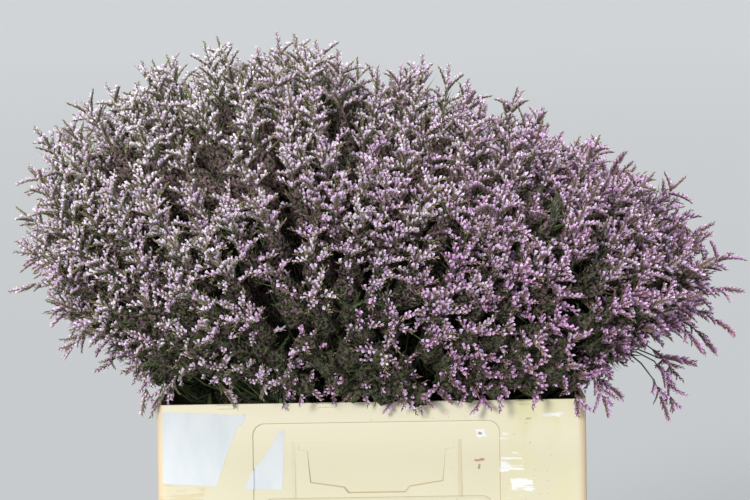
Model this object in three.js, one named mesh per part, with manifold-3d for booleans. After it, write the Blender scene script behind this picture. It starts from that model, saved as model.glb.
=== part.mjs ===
// Dried statice standing in a deep plastic flower crate, in millimetres, +Z up.
// The origin is the middle of the crate's underside, and the front wall faces -Y.
// Each flowering stem is one closed body: a three-edged stem that flares into a head, and on
// the head its plumes of florets, drawn larger than life with few faces.
import * as THREE from 'three';
import { mergeVertices } from 'three/addons/utils/BufferGeometryUtils.js';
import Module from 'manifold-3d';

const wasm = await Module();
wasm.setup();

// Crate
const CRATE = { width: 400, depth: 300, height: 330, wall: 4, floor: 5, corner: 8 };
const PANEL = { halfWidth: 115, top: 17, bottom: 86, corner: 11, depth: 0.9 };
const POCKET = { halfWidth: 76, top: 36, bottom: 84, depth: 1.1 };
const GRIP_PLATE = [[76, 42], [63, 44], [59, 78], [32, 80], [27, 84]];
const LOWER_PANEL = { halfWidth: 112, top: 91, bottom: 290, corner: 11, depth: 1.8 };
const LUG = { places: [-137, -41, 41, 142], width: 17, height: 3, reach: 1.6 };

// Canopy: where the flowering tips end, as reach from its middle by angle from straight up
const CANOPY_LIFT = 100;
const REACH_LEFT = [
  [0, 228], [16, 248], [36, 287], [48, 322], [61, 356], [80, 345], [92, 325], [104, 272], [120, 240],
];
const REACH_RIGHT = [
  [0, 228], [36, 231], [48, 246], [63, 277], [75, 325], [90, 362], [100, 345], [108, 322], [118, 290],
];
const REACH_DEEP = [[0, 228], [45, 248], [70, 258], [95, 246], [115, 215]];
// Tilt of the outermost stems by direction, from straight right (0) round to the back (90)
const SPREAD = [
  [-180, 117], [-146, 108], [-132, 103], [-112, 114], [-92, 121], [-72, 121], [-38, 108], [-12, 116],
  [12, 114], [38, 106], [90, 112], [142, 106], [165, 114], [180, 117],
];
const PLAN_SQUARENESS = 2.6;
const ARRIVE = { radial: 0.45, up: 0.55 };

// Stems: one in the middle, then how many stand in each ring around it
const RINGS = [6, 9, 12, 12];
const MIDDLE = 0.13;
const SIDE_SQUEEZE = 0.08;
const STEM = { radius: 2.6, topRadius: 2.2, top: 0.36, footGap: 0.45, rimLift: 16 };
const STAND = { foot: 0.80, rim: 0.89, squareness: 6 };
const CELL_USED = 0.91;

// Waves that carry the borders between heads off their straight lines
const WAVES = { turn: 0.09, turnRate: 14, out: 0.024, outRate: 7 };

// Plumes: a head's surface at this rise, from rim (0) to canopy (1), is covered with them
const PLUME = { base: 0.74, step: 44, wander: 0.16, fullest: 0.88, shortest: 0.93, longest: 1.04 };
const WHORLS = [{ share: 0.12, radius: 0.4 }, { share: 0.48, radius: 1 }, { share: 0.74, radius: 0.6 }];

const COLOURS = { crate: 0xe9e3c4, flowers: 0xa98fb4 };

/** A repeatable stream of numbers between 0 and 1. */
class Draw {
  constructor(seed) {
    this.state = (seed * 7919 + 104729) % 2147483647;
    for (let i = 0; i < 3; i++) this.next();
  }

  next() {
    this.state = (this.state * 48271) % 2147483647;
    return this.state / 2147483647;
  }

  between(low, high) {
    return low + (high - low) * this.next();
  }
}

const radians = (angle) => (angle * Math.PI) / 180;
const degrees = (angle) => (angle * 180) / Math.PI;
const mix = (from, to, share) => from + (to - from) * share;

/** The value that a profile of [angle, value] pairs gives at an angle in degrees. */
function valueAt(profile, angle) {
  const last = profile.length - 1;
  if (angle >= profile[last][0]) return profile[last][1];
  const next = profile.findIndex(([at]) => at > angle);
  const [fromAngle, fromValue] = profile[next - 1];
  const [toAngle, toValue] = profile[next];
  return mix(fromValue, toValue, (angle - fromAngle) / (toAngle - fromAngle));
}

/** How far it is to the edge of a plan between an ellipse (squareness 2) and a rectangle. */
function squaredReach(sideShare, depthShare, squareness) {
  return (Math.abs(sideShare) ** squareness + Math.abs(depthShare) ** squareness) ** (-1 / squareness);
}

/** A stem's way from the crate's floor to the canopy: out is 0 in the middle and 1 at the edge. */
function stemPath(evenOut, evenTurn) {
  const out = evenOut + WAVES.out * evenOut * (1 - evenOut) * 4 * Math.sin(WAVES.outRate * evenTurn);
  const turn = evenTurn + WAVES.turn * Math.sin(WAVES.turnRate * evenOut);
  const [toSide, toDepth] = [Math.cos(turn), Math.sin(turn)];
  const tilt = out * valueAt(SPREAD, degrees(Math.atan2(toDepth, toSide)));
  const sideReach = mix(valueAt(REACH_LEFT, tilt), valueAt(REACH_RIGHT, tilt), (1 + toSide) / 2);
  const reach = squaredReach(toSide / sideReach, toDepth / valueAt(REACH_DEEP, tilt), PLAN_SQUARENESS);

  const outward = new THREE.Vector3(toSide, toDepth, 0);
  const up = new THREE.Vector3(0, 0, 1);
  const radial = outward.clone().multiplyScalar(Math.sin(radians(tilt)));
  radial.addScaledVector(up, Math.cos(radians(tilt)));
  const tip = radial.clone().multiplyScalar(reach);
  tip.z += CRATE.height + CANOPY_LIFT;

  const inside = [CRATE.width / 2 - CRATE.wall, CRATE.depth / 2 - CRATE.wall];
  const inPlan = out * squaredReach(toSide / inside[0], toDepth / inside[1], STAND.squareness);
  const foot = outward.clone().multiplyScalar(inPlan * STAND.foot);
  foot.z = CRATE.floor + STEM.footGap;
  const rim = outward.clone().multiplyScalar(inPlan * STAND.rim);
  rim.z = CRATE.height + STEM.rimLift;

  const lean = Math.pow(out, 1.5);
  const length = rim.distanceTo(tip);
  const leaving = up.clone().multiplyScalar(1 - 0.7 * lean).addScaledVector(outward, 0.1 + 0.85 * lean);
  const lift = ARRIVE.up * (1 + Math.cos(radians(tilt))) / 2;
  const arriving = radial.clone().multiplyScalar(ARRIVE.radial).addScaledVector(up, lift);
  const afterRim = rim.clone().addScaledVector(leaving.normalize(), 0.42 * length);
  const beforeTip = tip.clone().addScaledVector(arriving.normalize(), -0.32 * length);
  return { foot, canopy: new THREE.CubicBezierCurve3(rim, afterRim, beforeTip, tip) };
}

/** A point inside one stem's cell: right and away run from -1 to 1, rise from rim (0) to canopy (1). */
function placeIn(cell, right, away, rise) {
  const toRight = right * CELL_USED;
  const toAway = away * CELL_USED;
  if (cell.out === 0) {
    const x = toRight * Math.sqrt(1 - (away * away) / 2);
    const y = -toAway * Math.sqrt(1 - (right * right) / 2);
    return stemPath(cell.halfOut * Math.hypot(x, y), Math.atan2(y, x)).canopy.getPoint(rise);
  }
  const path = stemPath(cell.out + toAway * cell.halfOut, cell.turn + toRight * cell.halfTurn);
  return path.canopy.getPoint(rise);
}

/** A closed BufferGeometry as a solid that can be joined and cut. */
function toSolid(geometry) {
  const bare = geometry.clone();
  bare.deleteAttribute('normal');
  bare.deleteAttribute('uv');
  const merged = mergeVertices(bare, 1e-4);
  const corners = merged.index.array;
  const kept = [];
  for (let i = 0; i < corners.length; i += 3) {
    const [a, b, c] = [corners[i], corners[i + 1], corners[i + 2]];
    if (a !== b && b !== c && c !== a) kept.push(a, b, c);
  }
  return new wasm.Manifold(new wasm.Mesh({
    numProp: 3,
    vertProperties: new Float32Array(merged.attributes.position.array),
    triVerts: new Uint32Array(kept),
  }));
}

/** A solid as a BufferGeometry. */
function toGeometry(solid) {
  const { vertProperties, triVerts } = solid.getMesh();
  const geometry = new THREE.BufferGeometry();
  geometry.setAttribute('position', new THREE.BufferAttribute(vertProperties, 3));
  geometry.setIndex(new THREE.BufferAttribute(triVerts, 1));
  geometry.computeVertexNormals();
  return geometry;
}

/** The closed skin of one flowering stem, grown upwards in rings of three points. */
class Skin {
  constructor() {
    this.points = [];
    this.faces = [];
  }

  /** Adds a point and returns its number. */
  point(at) {
    this.points.push(at);
    return this.points.length - 1;
  }

  /** Three points around a place, anticlockwise as seen from where the skin grows to. */
  ring(centre, along, towards, radius, twist) {
    const right = towards.clone().addScaledVector(along, -towards.dot(along)).normalize();
    const front = along.clone().cross(right);
    return [0, 1, 2].map((i) => {
      const turn = twist + (2 * Math.PI * i) / 3;
      const at = centre.clone().addScaledVector(right, radius * Math.cos(turn));
      return this.point(at.addScaledVector(front, radius * Math.sin(turn)));
    });
  }

  /** Joins a ring to the one above it, which may be turned by up to 60 degrees. */
  band(lower, upper) {
    for (let i = 0; i < 3; i++) {
      const next = (i + 1) % 3;
      this.faces.push(lower[i], lower[next], upper[i], lower[next], upper[next], upper[i]);
    }
  }

  /** Closes a ring with a point. */
  close(ring, tip) {
    ring.forEach((corner, i) => this.faces.push(corner, ring[(i + 1) % 3], tip));
  }

  /** Widens a ring of three into a loop of many points that starts on the same side. */
  flare(ring, loop) {
    const owner = (i) => Math.floor((i * 3) / loop.length + 0.5) % 3;
    loop.forEach((corner, i) => {
      const next = loop[(i + 1) % loop.length];
      const [from, to] = [owner(i), owner(i + 1)];
      this.faces.push(next, corner, ring[from]);
      if (from !== to) this.faces.push(ring[from], ring[to], next);
    });
  }

  geometry() {
    const geometry = new THREE.BufferGeometry().setFromPoints(this.points);
    geometry.setIndex(this.faces);
    geometry.computeVertexNormals();
    return geometry;
  }
}

/** The net that a head's plumes grow from: a grid over the cell, with its knots moved about a little. */
function headNet(cell, draw) {
  const width = placeIn(cell, 1, 0, 1).distanceTo(placeIn(cell, -1, 0, 1));
  const height = placeIn(cell, 0, 1, 1).distanceTo(placeIn(cell, 0, -1, 1));
  const columns = Math.max(2, Math.round(width / PLUME.step));
  const rows = Math.max(2, Math.round(height / PLUME.step));
  const grid = new THREE.PlaneGeometry(2, 2, columns, rows);
  const position = grid.attributes.position;
  const knots = Array.from({ length: position.count }, (_, i) => {
    const [x, y] = [position.getX(i), position.getY(i)];
    const onSide = Math.abs(x) > 0.999;
    const onEnd = Math.abs(y) > 0.999;
    const [wanderX, wanderY] = [draw.between(-1, 1), draw.between(-1, 1)];
    const right = x + (onSide ? 0 : (2 * PLUME.wander * wanderX) / columns);
    const away = -y - (onEnd ? 0 : (2 * PLUME.wander * wanderY) / rows);
    return { right, away };
  });
  const at = (column, row) => row * (columns + 1) + column;
  const loop = [];
  for (let i = 0; i < columns; i++) loop.push(at(i, rows));
  for (let i = rows; i > 0; i--) loop.push(at(columns, i));
  for (let i = columns; i > 0; i--) loop.push(at(i, 0));
  for (let i = 0; i < rows; i++) loop.push(at(0, i));
  return { knots, triangles: grid.index.array, loop };
}

/** The middle and radius of the round that fits a triangle of knots, at one rise. */
function roundIn(cell, corners, rise) {
  const [a, b, c] = corners.map(({ right, away }) => placeIn(cell, right, away, rise));
  const sides = [b.distanceTo(c), c.distanceTo(a), a.distanceTo(b)];
  const around = sides[0] + sides[1] + sides[2];
  const share = (key) => corners.reduce((sum, corner, i) => sum + (corner[key] * sides[i]) / around, 0);
  const area = new THREE.Triangle(a, b, c).getArea();
  return { right: share('right'), away: share('away'), radius: (2 * area) / around };
}

/** A plume of florets on a triangle of the net: a narrow foot, two whorls and a pointed end. */
function growPlume(skin, cell, base, corners, draw) {
  const { right, away, radius } = roundIn(cell, corners, PLUME.fullest);
  const reach = draw.between(PLUME.shortest, PLUME.longest);
  const placeAt = (share) => placeIn(cell, right, away, mix(PLUME.base, reach, share));
  const tip = placeAt(1);
  const along = tip.clone().sub(placeAt(0)).normalize();
  const towards = skin.points[base[0]].clone().sub(placeAt(0));
  const step = Math.PI / 3;
  const size = radius * draw.between(0.85, 1);
  let below = base;
  WHORLS.forEach((whorl, i) => {
    const above = skin.ring(placeAt(whorl.share), along, towards, whorl.radius * size, i * step);
    skin.band(below, above);
    below = above;
  });
  skin.close(below, skin.point(tip));
}

/** One flowering stem: from its foot on the crate's floor, up and out to a head of plumes. */
function floweringStem(cell, number) {
  const draw = new Draw(number + 1);
  const skin = new Skin();
  const net = headNet(cell, draw);
  const { foot } = stemPath(cell.out, cell.turn);
  const places = [foot, ...[0, STEM.top / 2, STEM.top].map((rise) => placeIn(cell, 0, 0, rise))];
  const towards = placeIn(cell, -1, 1, STEM.top).sub(places[3]);
  const rings = places.map((place, i) => {
    const along = places[Math.min(i + 1, 3)].clone().sub(places[Math.max(i - 1, 0)]).normalize();
    return skin.ring(place, along, towards, mix(STEM.radius, STEM.topRadius, i / 3), 0);
  });
  skin.faces.push(rings[0][2], rings[0][1], rings[0][0]);
  rings.slice(1).forEach((ring, i) => skin.band(rings[i], ring));

  const knots = net.knots.map(({ right, away }) => skin.point(placeIn(cell, right, away, PLUME.base)));
  skin.flare(rings[3], net.loop.map((knot) => knots[knot]));
  for (let i = 0; i < net.triangles.length; i += 3) {
    const corners = [...net.triangles.slice(i, i + 3)];
    growPlume(skin, cell, corners.map((knot) => knots[knot]), corners.map((knot) => net.knots[knot]), draw);
  }
  return skin.geometry();
}

/** The cells that share out the canopy: one in the middle, then rings of them. */
function stemCells() {
  const draw = new Draw(2026);
  const halfOut = (1 - MIDDLE) / RINGS.length / 2;
  const squeezed = (turn) => turn - SIDE_SQUEEZE * Math.sin(2 * turn);
  const cells = [{ out: 0, halfOut: MIDDLE, turn: 0, halfTurn: Math.PI }];
  RINGS.forEach((count, ring) => {
    const step = (2 * Math.PI) / count;
    const first = draw.between(0, step);
    const cuts = Array.from({ length: count }, (_, i) => {
      return squeezed(first + step * (i + draw.between(-0.12, 0.12)));
    });
    cuts.push(cuts[0] + 2 * Math.PI);
    for (let i = 0; i < count; i++) {
      cells.push({
        out: MIDDLE + (2 * ring + 1) * halfOut,
        halfOut,
        turn: (cuts[i] + cuts[i + 1]) / 2,
        halfTurn: (cuts[i + 1] - cuts[i]) / 2,
      });
    }
  });
  return cells;
}

/** A rectangle with round corners, as a shape about its middle. */
function roundedRectangle(width, height, corner) {
  const [x, y] = [width / 2, height / 2];
  const shape = new THREE.Shape();
  shape.moveTo(-x + corner, -y);
  shape.absarc(x - corner, -y + corner, corner, -Math.PI / 2, 0);
  shape.absarc(x - corner, y - corner, corner, 0, Math.PI / 2);
  shape.absarc(-x + corner, y - corner, corner, Math.PI / 2, Math.PI);
  shape.absarc(-x + corner, -y + corner, corner, Math.PI, Math.PI * 1.5);
  return shape;
}

/** A shape drawn on the front wall, x to the right and y up, pushed in from its face. */
function frontCutter(shape, depth, middleHeight) {
  const proud = 1;
  const cut = { depth: depth + proud, bevelEnabled: false, curveSegments: 3 };
  const geometry = new THREE.ExtrudeGeometry(shape, cut);
  geometry.rotateX(Math.PI / 2);
  geometry.translate(0, -CRATE.depth / 2 + depth, middleHeight);
  return toSolid(geometry);
}

/** A panel with round corners, let into the front wall. */
function panelCutter(panel, depth) {
  const height = panel.bottom - panel.top;
  const shape = roundedRectangle(2 * panel.halfWidth, height, panel.corner);
  return frontCutter(shape, depth, CRATE.height - panel.top - height / 2);
}

/** The deeper pocket that leaves the stepped grip plate standing between its two arms. */
function pocketCutter() {
  const shape = new THREE.Shape();
  const point = (x, down) => [x, CRATE.height - down];
  shape.moveTo(...point(-POCKET.halfWidth, POCKET.top));
  shape.lineTo(...point(-POCKET.halfWidth, POCKET.bottom));
  shape.lineTo(...point(POCKET.halfWidth, POCKET.bottom));
  shape.lineTo(...point(POCKET.halfWidth, POCKET.top));
  const arm = 3;
  shape.lineTo(...point(POCKET.halfWidth - arm, POCKET.top));
  GRIP_PLATE.forEach(([x, down]) => shape.lineTo(...point(x - arm, down - 2)));
  [...GRIP_PLATE].reverse().forEach(([x, down]) => shape.lineTo(...point(-x + arm, down - 2)));
  shape.lineTo(...point(-POCKET.halfWidth + arm, POCKET.top));
  shape.closePath();
  return frontCutter(shape, PANEL.depth + POCKET.depth, 0);
}

/** The crate: an open box with round corners, relief on its front wall and lugs on its rim. */
function crateSolid() {
  const { width, depth, height, wall, floor, corner } = CRATE;
  const upright = { depth: height, bevelEnabled: false, curveSegments: 4 };
  const outer = new THREE.ExtrudeGeometry(roundedRectangle(width, depth, corner), upright);
  const innerShape = roundedRectangle(width - 2 * wall, depth - 2 * wall, corner - wall);
  const inner = new THREE.ExtrudeGeometry(innerShape, upright);
  inner.translate(0, 0, floor);
  let body = toSolid(outer).subtract(toSolid(inner));
  body = body.subtract(panelCutter(PANEL, PANEL.depth));
  body = body.subtract(pocketCutter());
  body = body.subtract(panelCutter(LOWER_PANEL, LOWER_PANEL.depth));
  for (const x of LUG.places) {
    const sunk = 1;
    const lug = new THREE.BoxGeometry(LUG.width, LUG.reach + sunk, LUG.height);
    lug.translate(x, -depth / 2 - (LUG.reach - sunk) / 2, height - LUG.height / 2 - 0.6);
    body = body.add(toSolid(lug));
  }
  return body;
}

const statice = new THREE.Group();

const plastic = new THREE.MeshStandardMaterial({ color: COLOURS.crate, roughness: 0.5, metalness: 0 });
const crate = new THREE.Mesh(toGeometry(crateSolid()), plastic);
crate.name = 'crate';
statice.add(crate);

const dried = new THREE.MeshStandardMaterial({ color: COLOURS.flowers, roughness: 0.9, flatShading: true });
stemCells().forEach((cell, i) => {
  const stem = new THREE.Mesh(floweringStem(cell, i), dried);
  stem.name = `statice_stem_${String(i + 1).padStart(2, '0')}`;
  statice.add(stem);
});

export default statice;
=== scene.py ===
"""Dried statice standing in a plastic flower crate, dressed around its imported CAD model.

The classes hold their sizes in millimetres, as the part's source does, and MM turns a finished
mesh into metres. The origin is the middle of the crate's underside; the front wall faces -Y.
"""
import logging
import math
from collections.abc import Callable, Sequence
from dataclasses import dataclass, field
from enum import Enum

import bmesh
import bpy
import numpy as np
from bmesh.types import BMEdge, BMesh, BMVert
from bpy.types import Material, Mesh, Node, NodeSocket, Object
from mathutils import Matrix, Vector


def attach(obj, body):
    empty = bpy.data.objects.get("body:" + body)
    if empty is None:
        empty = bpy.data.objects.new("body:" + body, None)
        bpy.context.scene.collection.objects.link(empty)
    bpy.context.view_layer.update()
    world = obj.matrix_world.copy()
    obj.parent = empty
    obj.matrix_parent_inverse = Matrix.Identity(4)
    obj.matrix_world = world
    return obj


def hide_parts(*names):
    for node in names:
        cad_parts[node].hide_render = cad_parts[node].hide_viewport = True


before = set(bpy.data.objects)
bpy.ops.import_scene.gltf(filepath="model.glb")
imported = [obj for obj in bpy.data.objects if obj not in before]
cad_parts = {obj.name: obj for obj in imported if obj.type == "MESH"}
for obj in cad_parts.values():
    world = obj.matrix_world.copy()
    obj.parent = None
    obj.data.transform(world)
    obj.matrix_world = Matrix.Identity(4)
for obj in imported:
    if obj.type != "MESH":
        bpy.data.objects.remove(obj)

log = logging.getLogger("statice")

MM = 0.001
UP = Vector((0, 0, 1))
AWAY = Vector((0, 1, 0))
GOLDEN_TURN = math.radians(137.5)
COLOUR_MAP = "OFBake"
# The face attribute that carries the painted shade along the crate's relief edges.
RELIEF_SHADE = "relief"

Span = tuple[float, float]
Triple = tuple[float, float, float]
Colour = Triple
Linear = tuple[float, float, float, float]
Profile = tuple[Span, ...]


def linear(red: float, green: float, blue: float) -> Linear:
    """Turns a colour as it looks on a screen into the linear colour that a node takes.

    Args:
        red: Its red, 0 to 255.
        green: Its green.
        blue: Its blue.

    Returns:
        The linear colour, opaque.
    """
    def one(value: float) -> float:
        """One channel of it."""
        share = value / 255
        return share / 12.92 if share <= 0.04045 else ((share + 0.055) / 1.055) ** 2.4
    return one(red), one(green), one(blue), 1.0


def mix(low: float, high: float, share: float) -> float:
    """The number at a share of the way from low to high."""
    return low + (high - low) * share


def part_way(value: float, low: float, high: float) -> float:
    """How far a value is from low to high, held between 0 and 1; high may be the smaller one."""
    return min(max((value - low) / (high - low), 0), 1)


def value_at(profile: Profile, place: float) -> float:
    """A profile's value at a place, straight between its points and level beyond them.

    Args:
        profile: Its (place, value) pairs.
        place: The place.

    Returns:
        The value.
    """
    for (low, start), (high, end) in zip(profile, profile[1:]):
        if place <= high:
            return mix(start, end, part_way(place, low, high))
    return profile[-1][1]


def squared_reach(side: float, depth: float, squareness: float) -> float:
    """How far it is to the edge of a plan between an ellipse (squareness 2) and a rectangle."""
    return (abs(side) ** squareness + abs(depth) ** squareness) ** (-1 / squareness)


class Draw:
    """A repeatable stream of numbers, the same one as in the part's source."""

    MODULUS = 2147483647

    def __init__(self, seed: int) -> None:
        """Starts the stream.

        Args:
            seed: Any whole number; each gives another stream.
        """
        self.state = (seed * 7919 + 104729) % self.MODULUS
        for _ in range(3):
            self.next()

    def next(self) -> float:
        """The next number between 0 and 1."""
        self.state = self.state * 48271 % self.MODULUS
        return self.state / self.MODULUS

    def between(self, low: float, high: float) -> float:
        """The next number between low and high."""
        return low + (high - low) * self.next()

    def pick(self, choices: Sequence[Mesh]) -> Mesh:
        """One of the meshes."""
        return choices[min(int(self.next() * len(choices)), len(choices) - 1)]


# ---- Shader nodes ---------------------------------------------------------------------------


class Sock:
    """A number in a shader: Python's operators on it add Math nodes."""

    def __init__(self, shader: "Shader", output: NodeSocket) -> None:
        """Wraps an output.

        Args:
            shader: The shader whose tree the output is in.
            output: The output that carries the number.
        """
        self.shader = shader
        self.output = output

    def _math(self, operation: str, *terms: "Sock | float", clamp: bool = False) -> "Sock":
        """Adds a Math node on the terms, in their order."""
        inputs = {i: term for i, term in enumerate(terms)}
        settings = {"operation": operation, "use_clamp": clamp}
        return Sock(self.shader, self.shader.node("ShaderNodeMath", settings, inputs).outputs[0])

    def __add__(self, other: "Sock | float") -> "Sock":
        """This number plus another."""
        return self._math("ADD", self, other)

    __radd__ = __add__

    def __sub__(self, other: "Sock | float") -> "Sock":
        """This number less another."""
        return self._math("SUBTRACT", self, other)

    def __rsub__(self, other: "Sock | float") -> "Sock":
        """Another number less this one."""
        return self._math("SUBTRACT", other, self)

    def __mul__(self, other: "Sock | float") -> "Sock":
        """This number times another."""
        return self._math("MULTIPLY", self, other)

    __rmul__ = __mul__

    def __abs__(self) -> "Sock":
        """This number without its sign."""
        return self._math("ABSOLUTE", self)

    def held(self) -> "Sock":
        """This number, held between 0 and 1."""
        return self._math("ADD", self, 0.0, clamp=True)

    def step(self, low: float, high: float) -> "Sock":
        """A smooth rise, or a fall where high is below low.

        Args:
            low: Where it is 0.
            high: Where it is 1.

        Returns:
            The height of the rise at this number.
        """
        settings = {"interpolation_type": "SMOOTHSTEP"}
        if low < high:
            inputs = {"Value": self, "From Min": low, "From Max": high}
        else:
            inputs = {"Value": self, "From Min": high, "From Max": low, "To Min": 1.0, "To Max": 0.0}
        return Sock(self.shader, self.shader.node("ShaderNodeMapRange", settings, inputs).outputs[0])


class Shader:
    """A material whose one surface shader is fed by nodes."""

    def __init__(self, name: str) -> None:
        """Starts a material.

        Args:
            name: The material's name.
        """
        self.material = bpy.data.materials.new(name)
        self.material.use_nodes = True
        self.tree = self.material.node_tree
        self.tree.nodes.clear()
        self.surface = self.node("ShaderNodeBsdfPrincipled")
        output = self.node("ShaderNodeOutputMaterial")
        self.tree.links.new(self.surface.outputs[0], output.inputs["Surface"])
        self.places: dict[str, NodeSocket] = {}

    def node(self, kind: str, settings: dict | None = None, inputs: dict | None = None) -> Node:
        """Adds any node.

        Args:
            kind: The node's type.
            settings: Its own settings; "stops" gives a ramp's (place, colour) pairs.
            inputs: A value or a link for each input, by name or number.

        Returns:
            The new node.
        """
        made = self.tree.nodes.new(kind)
        for key, value in (settings or {}).items():
            if key == "stops":
                ramp = made.color_ramp.elements
                ramp.remove(ramp[1])
                ramp[0].position, ramp[0].color = value[0]
                for place, colour in value[1:]:
                    ramp.new(place).color = colour
            else:
                setattr(made, key, value)
        for key, value in (inputs or {}).items():
            socket = made.inputs[key]
            if isinstance(value, Sock):
                self.tree.links.new(value.output, socket)
            elif isinstance(value, NodeSocket):
                self.tree.links.new(value, socket)
            else:
                socket.default_value = value
        return made

    def place(self, source: str) -> NodeSocket:
        """Where the shaded point is.

        Args:
            source: "Object" for metres on the piece, or "UV" for its colour map.

        Returns:
            The point.
        """
        if source not in self.places:
            if source == "UV":
                self.places[source] = self.node("ShaderNodeUVMap", {"uv_map": COLOUR_MAP}).outputs[0]
            else:
                self.places[source] = self.node("ShaderNodeTexCoord").outputs["Object"]
        return self.places[source]

    def axes(self, source: str) -> tuple[Sock, Sock, Sock]:
        """The point's three coordinates as numbers."""
        split = self.node("ShaderNodeSeparateXYZ", inputs={0: self.place(source)})
        return tuple(Sock(self, output) for output in split.outputs)

    def noise(self, scale: float | Triple, detail: float = 3.0, source: str = "Object",
              shift: Triple = (0, 0, 0)) -> Sock:
        """A cloudy pattern between 0 and 1.

        Args:
            scale: Lumps to a metre, or to a whole map; three values stretch the pattern.
            detail: How many finer layers it has.
            source: "Object" or "UV".
            shift: Moves the pattern, so that two of the same scale differ.

        Returns:
            The pattern.
        """
        stretch = scale if isinstance(scale, tuple) else (scale, scale, scale)
        placed = {"Vector": self.place(source), "Scale": stretch, "Location": shift}
        at = self.node("ShaderNodeMapping", inputs=placed).outputs[0]
        made = self.node("ShaderNodeTexNoise", inputs={"Vector": at, "Scale": 1.0, "Detail": detail})
        return Sock(self, made.outputs[0])

    def ramp(self, at: Sock, *stops: tuple[float, Colour]) -> NodeSocket:
        """The colour of a ramp at a number."""
        tones = [(place, linear(*tone)) for place, tone in stops]
        return self.node("ShaderNodeValToRGB", {"stops": tones}, {"Fac": at}).outputs[0]

    def blend(self, share: Sock | float, low: NodeSocket | Colour, high: NodeSocket | Colour,
              how: str = "MIX") -> NodeSocket:
        """Two colours mixed.

        Args:
            share: How much of the second is used.
            low: The first colour.
            high: The second colour.
            how: The Mix node's way of blending.

        Returns:
            The mixed colour.
        """
        low, high = (linear(*tone) if isinstance(tone, tuple) else tone for tone in (low, high))
        settings = {"data_type": "RGBA", "blend_type": how}
        return self.node("ShaderNodeMix", settings, {0: share, 6: low, 7: high}).outputs[2]

    def feed(self, name: str, value: Sock | NodeSocket | float) -> None:
        """Sets or links one socket of the surface shader.

        Args:
            name: The socket's name.
            value: What it is set or linked to.
        """
        socket = self.surface.inputs[name]
        if isinstance(value, Sock):
            value = value.output
        if isinstance(value, NodeSocket):
            self.tree.links.new(value, socket)
        else:
            socket.default_value = value

    def bump(self, height: Sock, strength: float, distance: float) -> None:
        """Feeds the surface's normal from a height.

        Args:
            height: The height, 0 to 1.
            strength: How much of it is felt.
            distance: What a height of 1 stands for, in metres.
        """
        inputs = {"Height": height, "Strength": strength, "Distance": distance}
        self.feed("Normal", self.node("ShaderNodeBump", inputs=inputs).outputs[0])


# ---- Finishes -------------------------------------------------------------------------------


class Strip(Enum):
    """The heights of the colour map that each part of the plant reads, as (lowest, highest)."""

    WOOD = (0.01, 0.09)
    BRACT = (0.11, 0.29)
    FLORET = (0.33, 0.98)


@dataclass(frozen=True)
class StaticeFinish:
    """Papery florets, bracts and twigs, coloured across their map by tint and along it by part."""

    wood: tuple[Colour, Colour] = ((46, 68, 36), (96, 120, 64))
    green_bract: tuple[Colour, Colour] = ((96, 98, 62), (194, 186, 144))
    brown_bract: tuple[Colour, Colour] = ((104, 68, 72), (190, 150, 156))
    pale_floret: tuple[Colour, Colour, Colour] = ((188, 160, 174), (250, 236, 252), (255, 252, 255))
    deep_floret: tuple[Colour, Colour, Colour] = ((146, 84, 128), (218, 158, 222), (250, 216, 250))
    violet_floret: tuple[Colour, Colour, Colour] = ((112, 78, 128), (176, 140, 206), (236, 214, 250))
    faded_floret: tuple[Colour, Colour, Colour] = ((116, 72, 78), (184, 138, 150), (226, 196, 206))
    mottle: Colour = (140, 116, 132)
    roughness: Span = (0.62, 0.86)

    def make(self) -> Material:
        """Builds the material.

        Returns:
            The material.
        """
        shader = Shader("dried_statice")
        tint, place, _ = shader.axes("UV")
        fine = shader.noise((420.0, 24.0, 1.0), 2.0, "UV")
        broad = shader.noise((34.0, 0.0, 0.0), 1.0, "UV")

        wood = shader.ramp(place, (0.0, self.wood[0]), (0.1, self.wood[1]))
        green = self._bract(shader, place, self.green_bract)
        brown = self._bract(shader, place, self.brown_bract)
        browned = (tint * 1.5 + broad * 2.2 - 1.45).held()
        bract = shader.blend(browned, green, brown)

        pale = self._floret(shader, place, self.pale_floret)
        deep = self._floret(shader, place, self.deep_floret)
        floret = shader.blend((tint * 1.3 - 0.15).held(), pale, deep)
        rarer = (self.violet_floret, 26.0, 7, 0.56), (self.faded_floret, 31.0, 19, 0.58)
        for tones, bands, shift, first in rarer:
            banded = shader.noise((bands, 0.0, 0.0), 2.0, "UV", shift=(shift, 0, 0))
            floret = shader.blend(banded.step(first, 0.66) * 0.8, floret, self._floret(shader, place, tones))

        colour = shader.blend(place.step(0.098, 0.102), wood, bract)
        colour = shader.blend(place.step(0.305, 0.31), colour, floret)
        mottled = shader.ramp(fine, (0.34, self.mottle), (0.58, (255, 255, 255)))
        shader.feed("Base Color", shader.blend(1.0, colour, mottled, "MULTIPLY"))
        low, high = self.roughness
        shader.feed("Roughness", fine * (high - low) + low)
        shader.feed("Specular IOR Level", 0.25)
        shader.feed("Sheen Weight", 0.12)
        shader.bump(shader.noise(1600.0, 2.0), 0.35, 0.0004)
        return shader.material

    @staticmethod
    def _bract(shader: Shader, place: Sock, tones: tuple[Colour, Colour]) -> NodeSocket:
        """A bract's colour: dark where it clasps the stalk, paler and dry along its edge."""
        return shader.ramp(place, (0.12, tones[0]), (0.28, tones[1]))

    @staticmethod
    def _floret(shader: Shader, place: Sock, tones: tuple[Colour, Colour, Colour]) -> NodeSocket:
        """A floret's colour: dark at its foot and in its throat, nearly white at its rim."""
        foot, wall, rim = tones
        return shader.ramp(place, (0.33, foot), (0.52, wall), (0.8, wall), (0.96, rim))


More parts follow.
